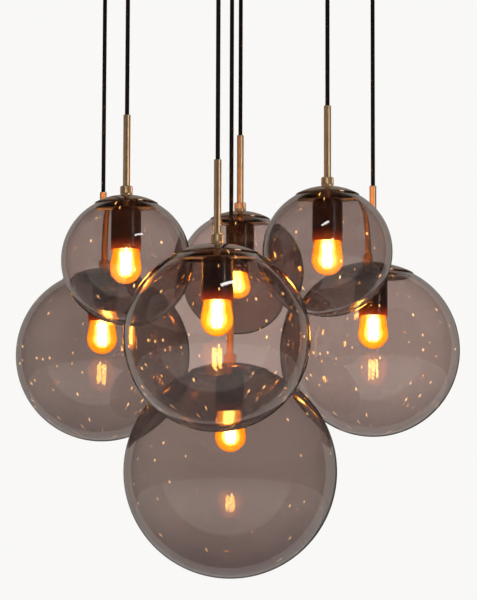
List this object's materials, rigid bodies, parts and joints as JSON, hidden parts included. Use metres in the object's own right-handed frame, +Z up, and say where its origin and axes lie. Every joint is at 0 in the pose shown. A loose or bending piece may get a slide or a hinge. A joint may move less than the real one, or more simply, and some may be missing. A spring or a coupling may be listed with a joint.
{
  "type": "cluster pendant light",
  "caption": "Cluster pendant light: smoked glass globes of graded size hang on cords and brass stems at stepped heights under a round ceiling canopy, each round a filament bulb.",
  "frame": {"origin": "on the ceiling plane at the middle of the canopy and of the two ceiling holes", "axes": "+Z up, +X to the right and -Y to the front, towards the medium front globe"},
  "size_m": [0.6448, 0.613, 0.9312],
  "materials": {
    "bronze": "polished dark bronze",
    "brass": "polished aged brass",
    "steel": "zinc plated",
    "cord": "matt black round cord",
    "smoked_glass": "clear smoked glass",
    "amber_glass": "amber lamp glass",
    "holder_black": "satin black"
  },
  "bodies": {
    "ceiling_mount": {"canopy": "bronze", "ceiling_bracket": "steel", "canopy_nuts": "brass", "cord_grips": "brass"},
    "drop_small_left": {"cord_small_left": "cord", "stem_small_left": "brass", "cap_small_left": "bronze", "globe_small_left": "smoked_glass", "glass_bar_small_left": "steel", "lampholder_small_left": "holder_black"},
    "nut_small_left": {"knurled_nut_small_left": "brass"},
    "lamp_small_left": {"bulb_small_left": "amber_glass"},
    "drop_small_right": {"cord_small_right": "cord", "stem_small_right": "brass", "cap_small_right": "bronze", "globe_small_right": "smoked_glass", "glass_bar_small_right": "steel", "lampholder_small_right": "holder_black"},
    "nut_small_right": {"knurled_nut_small_right": "brass"},
    "lamp_small_right": {"bulb_small_right": "amber_glass"},
    "drop_small_back": {"cord_small_back": "cord", "stem_small_back": "brass", "cap_small_back": "bronze", "globe_small_back": "smoked_glass", "glass_bar_small_back": "steel", "lampholder_small_back": "holder_black"},
    "nut_small_back": {"knurled_nut_small_back": "brass"},
    "lamp_small_back": {"bulb_small_back": "amber_glass"},
    "drop_medium_front": {"cord_medium_front": "cord", "stem_medium_front": "brass", "cap_medium_front": "bronze", "globe_medium_front": "smoked_glass", "glass_bar_medium_front": "steel", "lampholder_medium_front": "holder_black"},
    "nut_medium_front": {"knurled_nut_medium_front": "brass"},
    "lamp_medium_front": {"bulb_medium_front": "amber_glass"},
    "drop_medium_left": {"cord_medium_left": "cord", "stem_medium_left": "brass", "cap_medium_left": "bronze", "globe_medium_left": "smoked_glass", "glass_bar_medium_left": "steel", "lampholder_medium_left": "holder_black"},
    "nut_medium_left": {"knurled_nut_medium_left": "brass"},
    "lamp_medium_left": {"bulb_medium_left": "amber_glass"},
    "drop_medium_right": {"cord_medium_right": "cord", "stem_medium_right": "brass", "cap_medium_right": "bronze", "globe_medium_right": "smoked_glass", "glass_bar_medium_right": "steel", "lampholder_medium_right": "holder_black"},
    "nut_medium_right": {"knurled_nut_medium_right": "brass"},
    "lamp_medium_right": {"bulb_medium_right": "amber_glass"},
    "drop_large_centre": {"cord_large_centre": "cord", "stem_large_centre": "brass", "cap_large_centre": "bronze", "globe_large_centre": "smoked_glass", "glass_bar_large_centre": "steel", "lampholder_large_centre": "holder_black"},
    "nut_large_centre": {"knurled_nut_large_centre": "brass"},
    "lamp_large_centre": {"bulb_large_centre": "amber_glass"}
  },
  "joints": [
    {"name": "swing_small_left", "type": "hinge", "parent": "ceiling_mount", "child": "drop_small_left", "pos_m": [-0.1403, -0.081, -0.044], "axis": [-0.5, 0.866, 0], "range_deg": [-2, 12]},
    {"name": "nut_turn_small_left", "type": "hinge", "parent": "drop_small_left", "child": "nut_small_left", "pos_m": [-0.1403, -0.081, -0.3945], "axis": [0, 0, 1], "range_deg": [0, 1080]},
    {"name": "bulb_turn_small_left", "type": "hinge", "parent": "drop_small_left", "child": "lamp_small_left", "pos_m": [-0.1403, -0.081, -0.461], "axis": [0, 0, -1], "range_deg": [0, 1260]},
    {"name": "swing_small_right", "type": "hinge", "parent": "ceiling_mount", "child": "drop_small_right", "pos_m": [0.1403, -0.081, -0.044], "axis": [-0.5, -0.866, 0], "range_deg": [-2, 12]},
    {"name": "nut_turn_small_right", "type": "hinge", "parent": "drop_small_right", "child": "nut_small_right", "pos_m": [0.1403, -0.081, -0.3845], "axis": [0, 0, 1], "range_deg": [0, 1080]},
    {"name": "bulb_turn_small_right", "type": "hinge", "parent": "drop_small_right", "child": "lamp_small_right", "pos_m": [0.1403, -0.081, -0.451], "axis": [0, 0, -1], "range_deg": [0, 1260]},
    {"name": "swing_small_back", "type": "hinge", "parent": "ceiling_mount", "child": "drop_small_back", "pos_m": [0, 0.162, -0.044], "axis": [1, 0, 0], "range_deg": [-2, 12]},
    {"name": "nut_turn_small_back", "type": "hinge", "parent": "drop_small_back", "child": "nut_small_back", "pos_m": [0, 0.162, -0.3825], "axis": [0, 0, 1], "range_deg": [0, 1080]},
    {"name": "bulb_turn_small_back", "type": "hinge", "parent": "drop_small_back", "child": "lamp_small_back", "pos_m": [0, 0.162, -0.449], "axis": [0, 0, -1], "range_deg": [0, 1260]},
    {"name": "swing_medium_front", "type": "hinge", "parent": "ceiling_mount", "child": "drop_medium_front", "pos_m": [0, -0.228, -0.044], "axis": [-1, 0, 0], "range_deg": [-0.5, 12]},
    {"name": "nut_turn_medium_front", "type": "hinge", "parent": "drop_medium_front", "child": "nut_medium_front", "pos_m": [0, -0.228, -0.4835], "axis": [0, 0, 1], "range_deg": [0, 1080]},
    {"name": "bulb_turn_medium_front", "type": "hinge", "parent": "drop_medium_front", "child": "lamp_medium_front", "pos_m": [0, -0.228, -0.55], "axis": [0, 0, -1], "range_deg": [0, 1260]},
    {"name": "swing_medium_left", "type": "hinge", "parent": "ceiling_mount", "child": "drop_medium_left", "pos_m": [-0.19745, 0.114, -0.044], "axis": [0.5, 0.866, 0], "range_deg": [-0.5, 12]},
    {"name": "nut_turn_medium_left", "type": "hinge", "parent": "drop_medium_left", "child": "nut_medium_left", "pos_m": [-0.19745, 0.114, -0.4735], "axis": [0, 0, 1], "range_deg": [0, 1080]},
    {"name": "bulb_turn_medium_left", "type": "hinge", "parent": "drop_medium_left", "child": "lamp_medium_left", "pos_m": [-0.19745, 0.114, -0.54], "axis": [0, 0, -1], "range_deg": [0, 1260]},
    {"name": "swing_medium_right", "type": "hinge", "parent": "ceiling_mount", "child": "drop_medium_right", "pos_m": [0.19745, 0.114, -0.044], "axis": [0.5, -0.866, 0], "range_deg": [-0.5, 12]},
    {"name": "nut_turn_medium_right", "type": "hinge", "parent": "drop_medium_right", "child": "nut_medium_right", "pos_m": [0.19745, 0.114, -0.4675], "axis": [0, 0, 1], "range_deg": [0, 1080]},
    {"name": "bulb_turn_medium_right", "type": "hinge", "parent": "drop_medium_right", "child": "lamp_medium_right", "pos_m": [0.19745, 0.114, -0.534], "axis": [0, 0, -1], "range_deg": [0, 1260]},
    {"name": "swing_large_centre", "type": "hinge", "parent": "ceiling_mount", "child": "drop_large_centre", "pos_m": [0, 0, -0.044], "axis": [0, 1, 0], "range_deg": [-0.5, 0.5]},
    {"name": "nut_turn_large_centre", "type": "hinge", "parent": "drop_large_centre", "child": "nut_large_centre", "pos_m": [0, 0, -0.6235], "axis": [0, 0, 1], "range_deg": [0, 1080]},
    {"name": "bulb_turn_large_centre", "type": "hinge", "parent": "drop_large_centre", "child": "lamp_large_centre", "pos_m": [0, 0, -0.69], "axis": [0, 0, -1], "range_deg": [0, 1260]}
  ]
}
